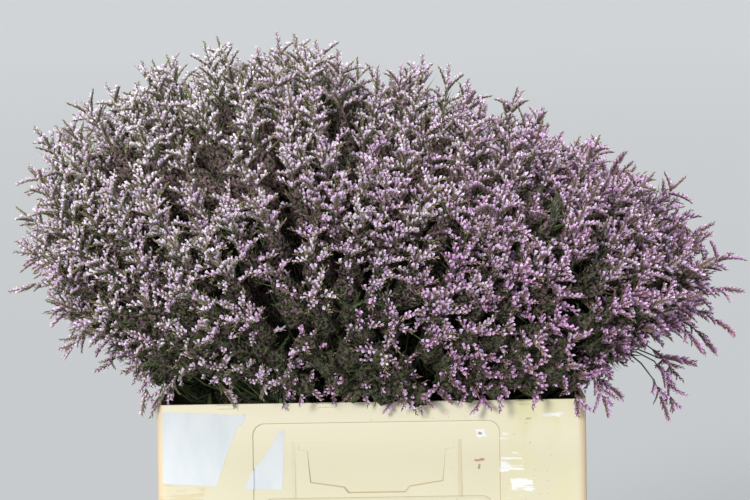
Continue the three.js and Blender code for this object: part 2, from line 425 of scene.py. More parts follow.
@dataclass(frozen=True)
class GrowthFinish:
    """The leaves, twigs and florets inside the bunch in painted shade: near-black in the gaps, paler higher
    up as painted light, with dim florets in painted shade, more of them higher up.
    """

    # Painted shade: deep is the near-black of the gaps between the leaves.
    deep: Colour = (24, 26, 17)
    leaf: Colour = (76, 84, 52)
    shaded_floret: Colour = (150, 114, 132)
    # Painted light: high is the paler tone of the growth higher up, where light from above reaches it.
    high: Colour = (122, 106, 96)

    def make(self) -> Material:
        """Builds the material.

        Returns:
            The material.
        """
        shader = Shader("inner_growth")
        leaves = shader.noise(300.0, 4.0)
        florets = shader.noise(340.0, 2.0, shift=(2, 5, 1)).step(0.53, 0.58)
        green = shader.ramp(leaves, (0.42, self.deep), (0.62, self.leaf))
        _, _, z = shader.axes("Object")
        # Painted light: the growth turns paler towards the top of the bunch.
        painted_top_light = z.step(0.42, 0.6) * leaves.step(0.36, 0.6) * 0.6
        colour = shader.blend(painted_top_light, green, self.high)
        # Dim florets in painted shade, more of them higher up.
        share = florets * (z.step(0.36, 0.48) * 0.5 + 0.3)
        shader.feed("Base Color", shader.blend(share, colour, self.shaded_floret))
        shader.feed("Roughness", leaves * 0.2 + 0.75)
        shader.feed("Specular IOR Level", 0.1)
        shader.bump(leaves, 1.0, 0.006)
        return shader.material


@dataclass(frozen=True)
class Mark:
    """A scuff or spot on the crate's front wall: its edges in metres and its colour."""

    left: float
    right: float
    low: float
    high: float
    colour: Colour = (228, 228, 227)
    strength: float = 0.85
    worn: bool = True


@dataclass(frozen=True)
class PlasticFinish:
    """Cream crate plastic, yellowed and scuffed, with a green stain and specks of dirt; painted light pales
    the top of its walls, and painted shade tints its rounded corners and the edges of its relief.
    """

    cream: Colour = (208, 201, 174)
    # Painted light: a paler cream for the top of the walls, against the shade that the flowers cast there.
    top_painted_light: Colour = (220, 213, 187)
    aged: Colour = (205, 198, 169)
    # Painted shading: the warm tint of the rounded upright corners, where the light turns round them.
    corner_shading_tint: Colour = (217, 195, 160)
    stain: Colour = (206, 201, 153)
    # Painted shade: the tan of the lines along the relief's edges.
    edge: Colour = (184, 169, 130)
    dirt: Colour = (112, 88, 66)
    marks: tuple[Mark, ...] = (
        Mark(0.097, 0.1055, 0.296, 0.3025, worn=False), Mark(0.1213, 0.1279, 0.2945, 0.299),
        Mark(0.121, 0.140, 0.2645, 0.282), Mark(0.128, 0.1495, 0.239, 0.256),
        Mark(0.1607, 0.1766, 0.3144, 0.317, worn=False),
        Mark(-0.195, -0.157, 0.238, 0.2546, (196, 178, 134), 0.55),
        Mark(0.096, 0.1035, 0.2738, 0.2748, (150, 104, 70), 0.8, False),
        Mark(0.098, 0.0998, 0.2662, 0.2697, (128, 98, 74), 0.7, False),
        Mark(0.1436, 0.1448, 0.3085, 0.3155, (120, 106, 84), 0.6),
        Mark(0.099, 0.103, 0.2988, 0.2998, (96, 88, 80), 0.8, False),
    )

    def make(self) -> Material:
        """Builds the material.

        Returns:
            The material.
        """
        shader = Shader("crate_plastic")
        x, y, z = shader.axes("Object")
        clouds = shader.noise(9.0, 4.0)
        grain = shader.noise(260.0, 3.0, shift=(3, 1, 2))
        colour = shader.blend((clouds * 1.6 - 0.45).held(), self.cream, self.aged)
        # Painted light: the walls grow paler towards the rim, making up for the shade under the flowers.
        colour = shader.blend(z.step(0.268, 0.318) * 0.85, colour, self.top_painted_light)

        # Painted shading: a warm tint on the rounded upright corners.
        corner = abs(x).step(0.1915, 0.1955) * abs(y).step(0.136, 0.144)
        colour = shader.blend(corner * 0.85, colour, self.corner_shading_tint)

        front = y.step(-0.14, -0.146)
        blotches = shader.noise((34.0, 34.0, 20.0), 5.0, shift=(5, 0, 0))
        beside = x.step(0.112, 0.135) * x.step(0.2, 0.186) * front
        colour = shader.blend(beside * blotches.step(0.36, 0.7) * 0.75, colour, self.stain)
        # Painted shade along the relief: the tan on the narrow faces that edge it, as marked when the crate
        # is built.
        relief = Sock(shader, shader.node("ShaderNodeAttribute", {"attribute_name": RELIEF_SHADE}).outputs["Fac"])
        colour = shader.blend(relief * 0.75, colour, self.edge)

        ragged = shader.noise(120.0, 4.0, shift=(8, 2, 4)) - 0.5
        worn = shader.noise((45.0, 45.0, 330.0), 5.0, shift=(2, 2, 7)).step(0.47, 0.56)
        across, up = x + ragged * 0.016, z + ragged * 0.007
        for mark in self.marks:
            inside = across.step(mark.left - MM, mark.left) * across.step(mark.right + MM, mark.right)
            inside = inside * up.step(mark.low - MM, mark.low) * up.step(mark.high + MM, mark.high)
            share = front * inside * mark.strength
            colour = shader.blend(share * worn if mark.worn else share, colour, mark.colour)

        flecks = shader.noise(330.0, 2.0, shift=(0, 7, 0)).step(0.69, 0.73)
        dusty = shader.noise(14.0, 3.0, shift=(1, 4, 9)).step(0.48, 0.66)
        colour = shader.blend(flecks * dusty * 0.55, colour, self.dirt)
        shader.feed("Base Color", colour)
        shader.feed("Roughness", grain * 0.2 + 0.42)
        shader.feed("Specular IOR Level", 0.4)
        shader.bump(grain, 0.12, 0.0004)
        return shader.material


@dataclass(frozen=True)
class PaperFinish:
    """Thin white label paper, a little creased."""

    paper: Colour = (205, 209, 210)
    shade: Colour = (198, 203, 205)

    def make(self) -> Material:
        """Builds the material.

        Returns:
            The material.
        """
        shader = Shader("label_paper")
        creases = shader.noise((60.0, 60.0, 22.0), 5.0)
        shader.feed("Base Color", shader.ramp(creases, (0.35, self.shade), (0.6, self.paper)))
        shader.feed("Roughness", shader.noise(500.0) * 0.2 + 0.55)
        shader.bump(creases, 0.3, 0.0006)
        return shader.material


@dataclass(frozen=True)
class StudioFinish:
    """The matt grey-white of the floor, with painted light making it a little paler far off."""

    tone: Colour = (180, 181, 182)

    def make(self) -> Material:
        """Builds the material.

        Returns:
            The material.
        """
        shader = Shader("studio_paper")
        _, depth, _ = shader.axes("Object")
        faint = shader.noise(0.7, 3.0)
        # Painted light: the far floor is painted paler than the near one.
        near, far = (tuple(channel + lift for channel in self.tone) for lift in (-3, 5))
        share = (depth.step(2.0, 30.0) + (faint - 0.5) * 0.2).held()
        shader.feed("Base Color", shader.blend(share, near, far))
        shader.feed("Roughness", 0.9)
        shader.feed("Specular IOR Level", 0.1)
        return shader.material


# ---- Mesh helpers ---------------------------------------------------------------------------


def axes_matrix(across: Vector, along: Vector, at: Vector, scale: float = 1.0) -> Matrix:
    """A place whose Z runs along one direction and whose X leans to another.

    Args:
        across: Where X leans to.
        along: Where Z runs.
        at: The place's origin.
        scale: The size of one unit.

    Returns:
        The matrix that carries a shape to the place.
    """
    z = along.normalized()
    x = (across - z * across.dot(z)).normalized()
    y = z.cross(x)
    turned = Matrix((x, y, z)).transposed().to_4x4()
    return Matrix.Translation(at) @ turned @ Matrix.Scale(scale, 4)


def any_side(along: Vector) -> Vector:
    """A direction square to another one."""
    helper = UP if abs(along.normalized().z) < 0.9 else Vector((1, 0, 0))
    return along.cross(helper).normalized()


def round_about(along: Vector, turned: float) -> Vector:
    """A direction square to another one and turned about it, by an angle in radians."""
    side = any_side(along)
    return side * math.cos(turned) + along.cross(side) * math.sin(turned)


def as_mesh(bm: BMesh, name: str) -> Mesh:
    """Turns a bmesh into a mesh of that name and frees it.

    Args:
        bm: The bmesh.
        name: The mesh's name.

    Returns:
        The mesh.
    """
    mesh = bpy.data.meshes.new(name)
    bm.to_mesh(mesh)
    bm.free()
    return mesh


def in_scene(name: str, data: bpy.types.ID) -> Object:
    """Puts a mesh, a light or a camera into the scene.

    Args:
        name: The object's name.
        data: What it holds.

    Returns:
        The object.
    """
    made = bpy.data.objects.new(name, data)
    bpy.context.scene.collection.objects.link(made)
    return made


def paint(bm: BMesh, height: Callable[[BMVert], float], shade: float = 0.0) -> None:
    """Gives every face of a triangle mesh its sliver of the colour map.

    Args:
        bm: The mesh.
        height: A corner's height on the map.
        shade: How far across the map the sliver stands.
    """
    sliver = 0.0016
    layer = bm.loops.layers.uv.get(COLOUR_MAP) or bm.loops.layers.uv.new(COLOUR_MAP)
    for face in bm.faces:
        for i, loop in enumerate(face.loops):
            loop[layer].uv = (shade + sliver * (0, 1, 0.5)[i % 3], height(loop.vert) + (0, 0, 0.003)[i % 3])


def tube(path: Sequence[Vector], radii: Sequence[float], sides: int, painted: bool = True) -> Mesh:
    """A closed round stalk along a path, ending in a point.

    Args:
        path: Its points.
        radii: Its radius at each point.
        sides: How many faces go round it.
        painted: Whether it reads the wood's strip of the colour map.

    Returns:
        The stalk as a mesh.
    """
    bm = bmesh.new()
    along = (path[1] - path[0]).normalized()
    start = axes_matrix(any_side(along), along, path[0])
    ring = bmesh.ops.create_circle(bm, cap_ends=True, segments=sides, radius=radii[0], matrix=start)["verts"]
    edges = list(bm.edges)
    for i in range(1, len(path)):
        ahead = path[min(i + 1, len(path) - 1)] - path[i - 1]
        turn = along.rotation_difference(ahead.normalized()).to_matrix().to_4x4()
        grown = bmesh.ops.extrude_edge_only(bm, edges=edges)["geom"]
        ring = [item for item in grown if isinstance(item, BMVert)]
        edges = [item for item in grown if isinstance(item, BMEdge)]
        carry = Matrix.Translation(path[i]) @ turn @ Matrix.Scale(radii[i] / radii[i - 1], 4)
        bmesh.ops.transform(bm, matrix=carry @ Matrix.Translation(-path[i - 1]), verts=ring)
        along = ahead.normalized()
    bmesh.ops.pointmerge(bm, verts=ring, merge_co=path[-1])
    bmesh.ops.recalc_face_normals(bm, faces=list(bm.faces))
    bmesh.ops.triangulate(bm, faces=list(bm.faces))
    if painted:
        low, high = Strip.WOOD.value
        first = path[0]
        length = (path[-1] - first).length
        paint(bm, lambda vert: mix(low, high, min(0.95, (vert.co - first).length / length)))
    return as_mesh(bm, "stalk")


def finish_piece(name: str, bm: BMesh, material: Material,
                 replaced: Sequence[str] = ()) -> Object:
    """Makes a piece of the object from a finished bmesh, which is freed, and reports it.

    Args:
        name: The piece's name.
        bm: Its shape, in millimetres, in place.
        material: Its finish.
        replaced: The CAD nodes that it stands for.

    Returns:
        The piece.
    """
    bmesh.ops.transform(bm, matrix=Matrix.Scale(MM, 4), verts=list(bm.verts))
    mesh = as_mesh(bm, name)
    mesh.materials.append(material)
    piece = in_scene(name, mesh)
    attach(piece, "root")
    if replaced:
        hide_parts(*replaced)
    log.info("%s: %d faces", piece.name, len(mesh.polygons))
    return piece


# ---- Canopy: where the stems run, as in the part's source -------------------------------------


@dataclass(frozen=True)
class Way:
    """A stem's way: its foot, then a curve from the crate's rim to the canopy."""

    foot: Vector
    rim: Vector
    after_rim: Vector
    before_tip: Vector
    tip: Vector

    def at(self, rise: float) -> Vector:
        """The point at a rise, 0 at the rim and 1 at the canopy."""
        rest = 1 - rise
        return (self.rim * rest ** 3 + self.after_rim * (3 * rest ** 2 * rise)
                + self.before_tip * (3 * rest * rise ** 2) + self.tip * rise ** 3)


@dataclass(frozen=True)
class Canopy:
    """The dome that the flowering tips end on, with the values of the part's source."""

    width: float = 400
    depth: float = 300
    height: float = 330
    wall: float = 4
    floor: float = 5
    lift: float = 100
    reach_left: Profile = ((0, 228), (16, 248), (36, 287), (48, 322), (61, 356), (80, 345), (92, 325),
                           (104, 272), (120, 240))
    reach_right: Profile = ((0, 228), (36, 231), (48, 246), (63, 277), (75, 325), (90, 362), (100, 345),
                            (108, 322), (118, 290))
    reach_deep: Profile = ((0, 228), (45, 248), (70, 258), (95, 246), (115, 215))
    spread: Profile = ((-180, 117), (-146, 108), (-132, 103), (-112, 114), (-92, 121), (-72, 121), (-38, 108),
                       (-12, 116), (12, 114), (38, 106), (90, 112), (142, 106), (165, 114), (180, 117))
    plan_squareness: float = 2.6
    stand_squareness: float = 6
    foot_share: float = 0.80
    rim_share: float = 0.89
    foot_gap: float = 0.45
    rim_lift: float = 16

    def way(self, even_out: float, even_turn: float) -> Way:
        """A stem's way from the crate's floor to the canopy.

        Args:
            even_out: 0 in the middle of the canopy and 1 at its edge.
            even_turn: The direction from the middle, in radians from +X.

        Returns:
            The way, in millimetres.
        """
        out = even_out + 0.024 * even_out * (1 - even_out) * 4 * math.sin(7 * even_turn)
        turn = even_turn + 0.09 * math.sin(14 * even_out)
        to_side, to_depth = math.cos(turn), math.sin(turn)
        tilt = out * value_at(self.spread, math.degrees(math.atan2(to_depth, to_side)))
        side = mix(value_at(self.reach_left, tilt), value_at(self.reach_right, tilt), (1 + to_side) / 2)
        deep = value_at(self.reach_deep, tilt)
        reach = squared_reach(to_side / side, to_depth / deep, self.plan_squareness)

        steep = math.cos(math.radians(tilt))
        outward = Vector((to_side, to_depth, 0))
        radial = outward * math.sin(math.radians(tilt)) + UP * steep
        tip = radial * reach + UP * (self.height + self.lift)

        inside = self.width / 2 - self.wall, self.depth / 2 - self.wall
        stands = out * squared_reach(to_side / inside[0], to_depth / inside[1], self.stand_squareness)
        foot = outward * (stands * self.foot_share) + UP * (self.floor + self.foot_gap)
        rim = outward * (stands * self.rim_share) + UP * (self.height + self.rim_lift)

        lean = out ** 1.5
        length = (rim - tip).length
        leaving = UP * (1 - 0.7 * lean) + outward * (0.1 + 0.85 * lean)
        arriving = radial * 0.45 + UP * (0.55 * (1 + steep) / 2)
        after_rim = rim + leaving.normalized() * (0.42 * length)
        return Way(foot, rim, after_rim, tip - arriving.normalized() * (0.32 * length), tip)


@dataclass(frozen=True)
class Cell:
    """One stem's share of the canopy."""

    canopy: Canopy
    out: float
    half_out: float
    turn: float
    half_turn: float
    used: float = 0.91

    def at(self, right: float, away: float, rise: float) -> Vector:
        """A point of the cell.

        Args:
            right: -1 to 1 across it.
            away: -1 to 1 from the middle of the canopy outwards.
            rise: 0 at the rim to 1 at the canopy.

        Returns:
            The point, in millimetres.
        """
        to_right, to_away = right * self.used, away * self.used
        if self.out == 0:
            x = to_right * math.sqrt(1 - away * away / 2)
            y = -to_away * math.sqrt(1 - right * right / 2)
            return self.canopy.way(self.half_out * math.hypot(x, y), math.atan2(y, x)).at(rise)
        out, turn = self.out + to_away * self.half_out, self.turn + to_right * self.half_turn
        return self.canopy.way(out, turn).at(rise)

    def foot(self) -> Vector:
        """Where the stem stands on the crate's floor."""
        return self.canopy.way(self.out, self.turn).foot

    def on_stem(self, rise: float) -> Vector:
        """A point of the stem: rise runs from -1 at its foot over 0 at the rim to 1 at the canopy."""
        rim = self.at(0, 0, max(rise, 0))
        return rim if rise >= 0 else rim.lerp(self.foot(), -rise)


def stem_cells(canopy: Canopy) -> list[Cell]:
    """The cells that share out the canopy: one in the middle, then rings of them.

    Args:
        canopy: The canopy.

    Returns:
        The cells, in the order of the stems' numbers.
    """
    draw = Draw(2026)
    rings, middle = (6, 9, 12, 12), 0.13
    half_out = (1 - middle) / len(rings) / 2
    cells = [Cell(canopy, 0, middle, 0, math.pi)]
    for ring, count in enumerate(rings):
        step = 2 * math.pi / count
        first = draw.between(0, step)
        cuts = []
        for i in range(count):
            turn = first + step * (i + draw.between(-0.12, 0.12))
            cuts.append(turn - 0.08 * math.sin(2 * turn))
        cuts.append(cuts[0] + 2 * math.pi)
        out = middle + (2 * ring + 1) * half_out
        for low, high in zip(cuts, cuts[1:]):
            cells.append(Cell(canopy, out, half_out, (low + high) / 2, (high - low) / 2))
    return cells


@dataclass(frozen=True)
class Column:
    """Where one plume rises in its cell, and how far it reaches."""

    right: float
    away: float
    reach: float
    radius: float


def plume_columns(cell: Cell, number: int) -> list[Column]:
    """A cell's plumes: one on every triangle of a net over it, as in the part's source.

    Args:
        cell: The stem's cell.
        number: The stem's number, from 0.

    Returns:
        The plumes' columns.
    """
    step, wander, fullest = 44, 0.16, 0.88
    draw = Draw(number + 1)
    width = (cell.at(1, 0, 1) - cell.at(-1, 0, 1)).length
    height = (cell.at(0, 1, 1) - cell.at(0, -1, 1)).length
    columns, rows = max(2, int(width / step + 0.5)), max(2, int(height / step + 0.5))
    knots = []
    for row in range(rows + 1):
        for column in range(columns + 1):
            x, y = 2 * column / columns - 1, 1 - 2 * row / rows
            move_x, move_y = draw.between(-1, 1), draw.between(-1, 1)
            right = x + (0 if abs(x) > 0.999 else 2 * wander * move_x / columns)
            away = -y - (0 if abs(y) > 0.999 else 2 * wander * move_y / rows)
            knots.append((right, away))
    found = []
    for row in range(rows):
        for column in range(columns):
            a = row * (columns + 1) + column
            b = a + columns + 1
            for corners in ((a, b, a + 1), (b, b + 1, a + 1)):
                at = [cell.at(*knots[k], fullest) for k in corners]
                sides = [(at[1] - at[2]).length, (at[2] - at[0]).length, (at[0] - at[1]).length]
                around = sum(sides)
                right, away = (sum(knots[k][axis] * side for k, side in zip(corners, sides)) / around
                               for axis in (0, 1))
                area = (at[1] - at[0]).cross(at[2] - at[0]).length / 2
                reach = draw.between(0.93, 1.04)
                found.append(Column(right, away, reach, 2 * area / around * draw.between(0.85, 1)))
    return found


def thinness(point: Vector) -> float:
    """How much thinner the plumes grow there: up to 1 low on the bunch's left and right."""
    return part_way(point.z, 430, 320) * part_way(abs(point.x), 200, 245)


HEAD_DROP: Profile = ((-360, 16), (-270, 17), (-200, 10), (-150, 14), (-70, 9), (-35, 14), (20, 30), (60, 34),
                      (140, 34), (175, 26), (200, 18), (250, 8), (300, 16), (360, 14))


def settled(point: Vector) -> Vector:
    """A point of a plume as the bunch stands: its head sunk a little and its lower corners drawn up.

    Args:
        point: The point as the canopy gives it, in millimetres.

    Returns:
        The moved point.
    """
    thin = thinness(point)
    inward, lift = (0.17, 34) if point.x > 0 else (0.09, 16)
    inward = inward * thin + 0.03 * part_way(abs(point.x), 180, 240)
    drop = value_at(HEAD_DROP, point.x) * part_way(point.z, 420, 600)
    return Vector((point.x * (1 - inward), point.y, point.z + lift * thin - drop))


def stem_reach(number: int) -> float:
    """How far a stem reaches, as a share of the canopy there."""
    return Draw(number + 77).between(0.95, 1.035)


# ---- Florets, spikes and stems --------------------------------------------------------------


class SpikeKind(Enum):
    """What a spike carries."""

    FLOWERING = "flowering"
    BUDDING = "budding"
    GREEN = "green"


@dataclass(frozen=True)
class SpikeForm:
    """One spike of florets in two ranks on the upper side of an arching stalk."""

    kind: SpikeKind
    length: float
    bend: float
    seed: int
    pitch: float = 2.35
    stalk: float = 0.55
    bract: Span = (6.8, 1.65)
    floret: Span = (5.6, 1.95)
    closed_share: float = 0.45

    def at(self, share: float) -> tuple[Vector, Vector, Vector]:
        """Where the stalk is at a share of its length.

        Args:
            share: The share.

        Returns:
            The point, the stalk's direction there and its upper side.
        """
        angle = self.bend * share
        radius = self.length / self.bend
        across, up = math.sin(angle), math.cos(angle)
        point = Vector((radius * (1 - up), 0, radius * across))
        return point, Vector((across, 0, up)), Vector((-up, 0, across))

    def build(self) -> Mesh:
        """Builds the spike.

        Returns:
            A mesh that starts at the origin, climbs +Z and arches towards +X.
        """
        draw = Draw(self.seed)
        shares = (0, 0.3, 0.62, 1)
        path = [self.at(share)[0] for share in shares]
        stalk = tube(path, [mix(self.stalk, 0.3, share) for share in shares], 3)
        bm = bmesh.new()
        bm.from_mesh(stalk)
        bpy.data.meshes.remove(stalk)
        count = int(self.length / self.pitch)
        first_open = {SpikeKind.FLOWERING: 0.08, SpikeKind.BUDDING: 2, SpikeKind.GREEN: 2}[self.kind]
        last_open = draw.between(0.72, 0.92)
        for i in range(count):
            share = (i + 0.9) / count
            side = 1 if i % 2 else -1
            size = mix(1, 0.62, share ** 2) * draw.between(0.86, 1.1)
            self._bract(bm, draw, min(share, 0.99), side, size)
            if first_open <= share <= last_open and draw.next() > 0.14:
                self._floret(bm, draw, share, side, size)
        return as_mesh(bm, "spike")

    def _bract(self, bm: BMesh, draw: Draw, share: float, side: int, size: float) -> None:
        """Adds the scale that clasps the stalk under a floret.

        Args:
            bm: The spike.
            draw: The spike's stream.
            share: Where on the stalk it grows.
            side: The rank, -1 or 1.
            size: How large it grows.
        """
        at, along, upper = self.at(share)
        length, radius = self.bract[0] * size, self.bract[1] * size
        lean = (0.1, draw.between(0.4, 0.7)) if self.kind is SpikeKind.FLOWERING else (0.1, 0.32)
        aim = along + upper * lean[0] + Vector((0, side * lean[1], 0))
        low, high = Strip.BRACT.value
        if self.kind is SpikeKind.GREEN:
            radius *= 0.62
            low, high = Strip.WOOD.value
        scale = bmesh.new()
        bmesh.ops.create_cone(scale, cap_ends=True, segments=3, radius1=radius, radius2=0, depth=length)
        bmesh.ops.remove_doubles(scale, verts=list(scale.verts), dist=1e-4)
        bmesh.ops.triangulate(scale, faces=list(scale.faces))
        paint(scale, lambda vert: low if vert.co.z < 0 else high, draw.between(-0.02, 0.02))
        start = at - along * (0.35 * length)
        self._add(bm, scale, axes_matrix(upper, aim, start) @ Matrix.Translation((0, 0, length / 2)))

    def _floret(self, bm: BMesh, draw: Draw, share: float, side: int, size: float) -> None:
        """Adds a floret beside its bract: an open funnel with a sunk throat, or a closed, pointed one.

        Args:
            bm: The spike.
            draw: The spike's stream.
            share: Where on the stalk it grows.
            side: The rank, -1 or 1.
            size: How large it grows.
        """
        at, along, upper = self.at(share)
        closed = draw.next() < self.closed_share
        length = self.floret[0] * size * draw.between(0.85, 1.15)
        radius = self.floret[1] * size * draw.between(0.78, 1.15) * (0.82 if closed else 1)
        out_to_side = Vector((0, side * draw.between(0.3, 0.75), 0))
        aim = along * draw.between(0.75, 1.25) + upper * draw.between(0.4, 0.95) + out_to_side
        low, high = Strip.FLORET.value
        funnel = bmesh.new()
        bmesh.ops.create_cone(funnel, cap_ends=True, cap_tris=True, segments=3 if closed else 4, radius1=0,
                              radius2=radius, depth=length)
        bmesh.ops.remove_doubles(funnel, verts=list(funnel.verts), dist=1e-4)
        bmesh.ops.triangulate(funnel, faces=[face for face in funnel.faces if len(face.verts) > 3])
        throat = [vert for vert in funnel.verts if vert.co.z > 0 and vert.co.xy.length < 0.1 * radius]
        bmesh.ops.translate(funnel, verts=throat, vec=(0, 0, (0.38 if closed else -0.42) * length))
        throats = set(throat)
        throat_height = draw.between(0.55, 0.9) if closed else draw.between(0.1, 0.6)

        def height(vert: BMVert) -> float:
            """Foot, throat or rim."""
            if vert in throats:
                return mix(low, high, throat_height)
            return high if vert.co.z > 0 else low

        paint(funnel, height, draw.between(-0.08, 0.08))
        turned = axes_matrix(upper, aim, at) @ Matrix.Rotation(draw.between(0, 1.57), 4, "Z")
        self._add(bm, funnel, turned @ Matrix.Translation((0, 0, length / 2)))

    @staticmethod
    def _add(bm: BMesh, small: BMesh, matrix: Matrix) -> None:
        """Adds a small shape to the spike and frees it.

        Args:
            bm: The spike.
            small: The shape.
            matrix: Its place.
        """
        bmesh.ops.transform(small, matrix=matrix, verts=list(small.verts))
        mesh = as_mesh(small, "floret")
        bm.from_mesh(mesh)
        bpy.data.meshes.remove(mesh)


class SpikeKit:
    """The spikes that every plume is made of, each built once."""

    def __init__(self) -> None:
        """Builds the spikes of each kind."""
        self.meshes: dict[SpikeKind, list[Mesh]] = {}
        sizes = {SpikeKind.FLOWERING: (16, 16, 27, 6, 42), SpikeKind.BUDDING: (6, 16, 25, 8, 35),
                 SpikeKind.GREEN: (4, 20, 30, 6, 30)}
        for kind, (count, short, long, straight, bent) in sizes.items():
            draw = Draw(len(self.meshes) + 71)
            self.meshes[kind] = []
            for i in range(count):
                length, bend = draw.between(short, long), math.radians(draw.between(straight, bent))
                form = SpikeForm(kind, length, bend, seed=100 * len(self.meshes) + i)
                self.meshes[kind].append(form.build())
        self.branchlet = self._branchlet()

    @staticmethod
    def _branchlet() -> Mesh:
        """Builds a bare tapered branchlet.

        Returns:
            A mesh 1 long and 1 in radius that climbs +Z from the origin.
        """
        bm = bmesh.new()
        middle = Matrix.Translation((0, 0, 0.5))
        bmesh.ops.create_cone(bm, cap_ends=True, segments=3, radius1=1, radius2=0, depth=1, matrix=middle)
        bmesh.ops.remove_doubles(bm, verts=list(bm.verts), dist=1e-4)
        low, high = Strip.WOOD.value
        paint(bm, lambda vert: mix(low, high, 0.2 + 0.7 * vert.co.z))
        return as_mesh(bm, "branchlet")

    def free(self) -> None:
        """Removes the meshes that served as patterns."""
        for mesh in [self.branchlet, *(mesh for meshes in self.meshes.values() for mesh in meshes)]:
            bpy.data.meshes.remove(mesh)


class Polyline:
    """A path that is read by the distance along it."""

    def __init__(self, points: Sequence[Vector]) -> None:
        """Measures the path.

        Args:
            points: Its points.
        """
        self.points = list(points)
        self.reached = [0.0]
        for low, high in zip(self.points, self.points[1:]):
            self.reached.append(self.reached[-1] + (high - low).length)

    @property
    def length(self) -> float:
        """The path's whole length."""
        return self.reached[-1]

    def at(self, distance: float) -> tuple[Vector, Vector]:
        """Reads the path.

        Args:
            distance: How far along it, from its start.

        Returns:
            The point there and the path's direction.
        """
        last = len(self.points) - 2
        i = min(max((k for k, reached in enumerate(self.reached) if reached <= distance), default=0), last)
        low, high = self.points[i], self.points[i + 1]
        along = (high - low).normalized()
        return low + along * (distance - self.reached[i]), along


class Cluster:
    """A growing mesh of stamped copies that remembers each copy's tint."""

    def __init__(self) -> None:
        """Starts an empty mesh."""
        self.bm = bmesh.new()
        self.tints: list[tuple[int, float]] = []

    def stamp(self, mesh: Mesh, matrix: Matrix, tint: float) -> None:
        """Adds a copy of a mesh.

        Args:
            mesh: The mesh.
            matrix: Its place.
            tint: How far across the colour map its florets stand.
        """
        first = len(self.bm.verts)
        self.bm.from_mesh(mesh, face_normals=False, vertex_normals=False)
        self.bm.verts.ensure_lookup_table()
        bmesh.ops.transform(self.bm, matrix=matrix, verts=self.bm.verts[first:])
        self.tints.append((len(mesh.loops), tint))

    def stalk(self, path: Sequence[Vector], radii: Sequence[float], sides: int = 3,
              tint: float | None = None) -> None:
        """Adds a closed stalk along a path.

        Args:
            path: Its points.
            radii: Its radius at each point.
            sides: How many faces go round it.
            tint: How far across the colour map it stands, or None where it reads no map.
        """
        mesh = tube(path, radii, sides, painted=tint is not None)
        self.stamp(mesh, Matrix(), tint or 0)
        bpy.data.meshes.remove(mesh)

    def take(self, other: "Cluster") -> None:
        """Adds all of another cluster, which is freed.

        Args:
            other: The other cluster.
        """
        mesh = as_mesh(other.bm, "cluster")
        self.bm.from_mesh(mesh, face_normals=False, vertex_normals=False)
        bpy.data.meshes.remove(mesh)
        self.tints += other.tints


@dataclass(frozen=True)
class Spray:
    """A stray spray that leaves the bunch: a point that it passes, its end and how many spikes it bears."""

    over: Triple
    end: Triple
    spikes: int = 7
    leaving: float = 0.5

    def stem(self, cells: Sequence[Cell]) -> int:
        """The number of the stem that it grows from, the nearest one."""
        over = Vector(self.over)
        return min(range(len(cells)), key=lambda number: (cells[number].at(0, 0, 0.7) - over).length)


STRAY_SPRAYS = (
    Spray((300, -10, 424), (340, -22, 420), 8), Spray((296, -28, 404), (338, -46, 386), 9),
    Spray((290, 10, 392), (322, 0, 370), 7), Spray((280, -60, 400), (306, -90, 376), 6),
    Spray((272, -20, 352), (286, -34, 316), 7, 0.4), Spray((258, -40, 352), (276, -50, 318), 4, 0.4),
    Spray((276, 0, 354), (300, -8, 350), 5, 0.4), Spray((206, -132, 350), (216, -148, 330), 4, 0.3),
    Spray((190, -146, 350), (190, -160, 332), 4, 0.3), Spray((206, -112, 352), (226, -120, 336), 4, 0.3),
    Spray((-284, -20, 440), (-322, -30, 434), 8), Spray((-276, -40, 458), (-316, -56, 466), 7),
    Spray((-246, -30, 400), (-272, -48, 388), 6), Spray((-222, -60, 376), (-246, -80, 364), 6, 0.4),
    Spray((-204, -130, 372), (-210, -146, 342), 7, 0.3), Spray((-192, -146, 352), (-198, -154, 336), 3, 0.3),
    Spray((-152, -124, 366), (-136, -142, 342), 5, 0.25), Spray((-98, -126, 368), (-82, -142, 342), 5, 0.25),
    Spray((-178, -118, 372), (-184, -138, 346), 5, 0.25), Spray((-44, -120, 364), (-38, -138, 344), 3, 0.25),
    Spray((14, -148, 350), (20, -158, 336), 3, 0.25), Spray((34, -148, 348), (36, -160, 334), 2, 0.25),
    Spray((62, -148, 348), (64, -158, 338), 2, 0.25), Spray((98, -148, 348), (102, -160, 334), 3, 0.25),
    Spray((150, 148, 350), (156, 160, 334), 4, 0.25), Spray((-90, 148, 350), (-94, 160, 334), 4, 0.25),
    Spray((270, 60, 360), (294, 76, 336), 6, 0.4), Spray((-268, 60, 384), (-292, 80, 366), 6, 0.4),
)


